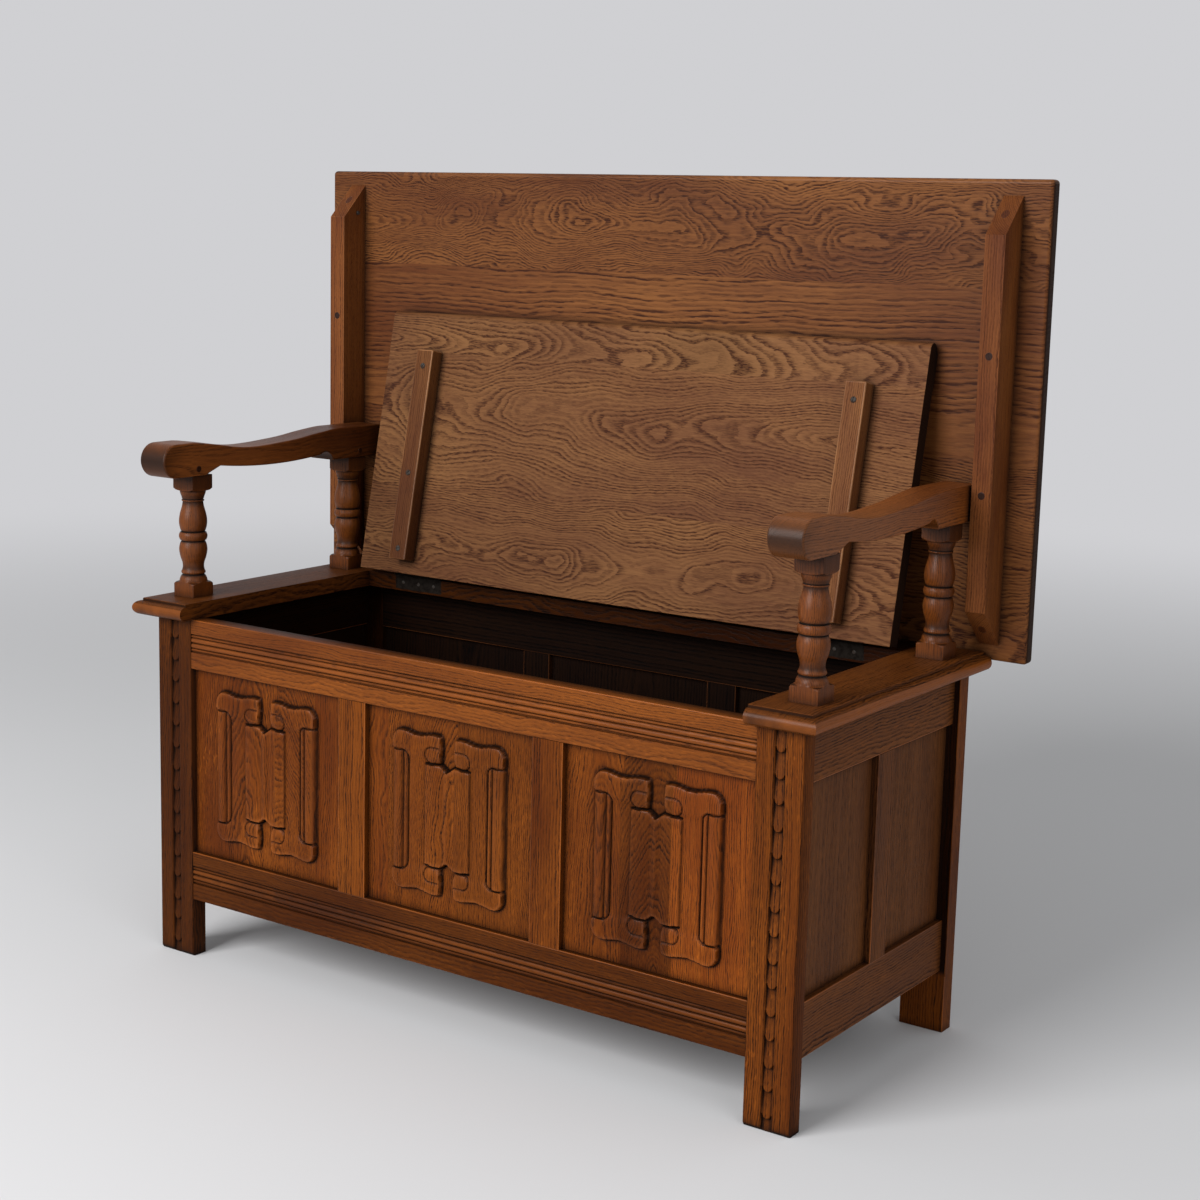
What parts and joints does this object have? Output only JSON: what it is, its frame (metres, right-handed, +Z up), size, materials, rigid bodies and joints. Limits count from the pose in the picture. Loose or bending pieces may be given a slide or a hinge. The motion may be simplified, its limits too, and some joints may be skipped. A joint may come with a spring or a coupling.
{
  "type": "settle bench",
  "caption": "Oak chest settle with a hinged seat lid, turned arm supports and a back that tips over the arms as a table top.",
  "frame": {"origin": "on the floor under the middle of the bounding box", "axes": "+X along the bench, to the right as seen from the front; +Y to the rear; +Z up"},
  "size_m": [1.067, 0.4428, 1.0035],
  "materials": {
    "frame_oak": "waxed",
    "arm_oak": "polished",
    "inner_oak": "stained",
    "lid_oak": "waxed",
    "top_oak": "waxed",
    "plug_wood": "waxed",
    "hinge_steel": "aged",
    "screw_steel": "dull"
  },
  "bodies": {
    "chest": {"front_leg_left": "frame_oak", "front_leg_right": "frame_oak", "rear_leg_left": "frame_oak", "rear_leg_right": "frame_oak", "front_top_rail": "frame_oak", "front_bottom_rail": "frame_oak", "front_muntin_left": "frame_oak", "front_muntin_right": "frame_oak", "carved_panel_left": "frame_oak", "carved_panel_middle": "frame_oak", "carved_panel_right": "frame_oak", "side_top_rail_left": "frame_oak", "side_top_rail_right": "frame_oak", "side_bottom_rail_left": "frame_oak", "side_bottom_rail_right": "frame_oak", "side_muntin_left": "frame_oak", "side_muntin_right": "frame_oak", "side_panel_front_left": "frame_oak", "side_panel_front_right": "frame_oak", "side_panel_rear_left": "frame_oak", "side_panel_rear_right": "frame_oak", "back_top_rail": "inner_oak", "back_bottom_rail": "inner_oak", "back_muntin_left": "inner_oak", "back_muntin_right": "inner_oak", "back_panel_left": "inner_oak", "back_panel_middle": "inner_oak", "back_panel_right": "inner_oak", "floor_strips": "inner_oak", "floor_boards": "inner_oak", "hinge_rail": "frame_oak", "capping_left": "frame_oak", "capping_right": "frame_oak", "baluster_front_left": "arm_oak", "baluster_front_right": "arm_oak", "baluster_rear_left": "arm_oak", "baluster_rear_right": "arm_oak", "arm_left": "arm_oak", "arm_right": "arm_oak", "arm_pegs": "plug_wood", "hinge_leaves_rail": "hinge_steel", "hinge_screws_rail": "screw_steel", "hinge_pins": "screw_steel"},
    "lid": {"lid_board_rear": "lid_oak", "lid_board_middle": "lid_oak", "lid_board_front": "lid_oak", "lid_batten_left": "lid_oak", "lid_batten_right": "lid_oak", "lid_batten_screws": "screw_steel", "hinge_leaves_lid": "hinge_steel", "hinge_screws_lid": "screw_steel"},
    "pivot_pins": {"pivot_pins": "screw_steel"},
    "table_top": {"table_board_low": "top_oak", "table_board_middle": "top_oak", "table_board_high": "top_oak", "bearer_left": "top_oak", "bearer_right": "top_oak", "bearer_plugs": "plug_wood", "bearer_studs": "screw_steel"}
  },
  "joints": [
    {"name": "top_tilt", "type": "hinge", "parent": "chest", "child": "pivot_pins", "pos_m": [0, 0.1804, 0.6383], "axis": [1, 0, 0], "range_deg": [0, 90]},
    {"name": "top_slide", "type": "slide", "parent": "pivot_pins", "child": "table_top", "axis": [0, 0, 1], "range_m": [0, 0.1]},
    {"name": "lid_hinge", "type": "hinge", "parent": "chest", "child": "lid", "pos_m": [0, 0.1369, 0.4653], "axis": [1, 0, 0], "range_deg": [0, 101.37]}
  ],
  "couplings": [
    {"joint": "lid_hinge", "follows": "top_tilt", "ratio": 1.1264}
  ]
}
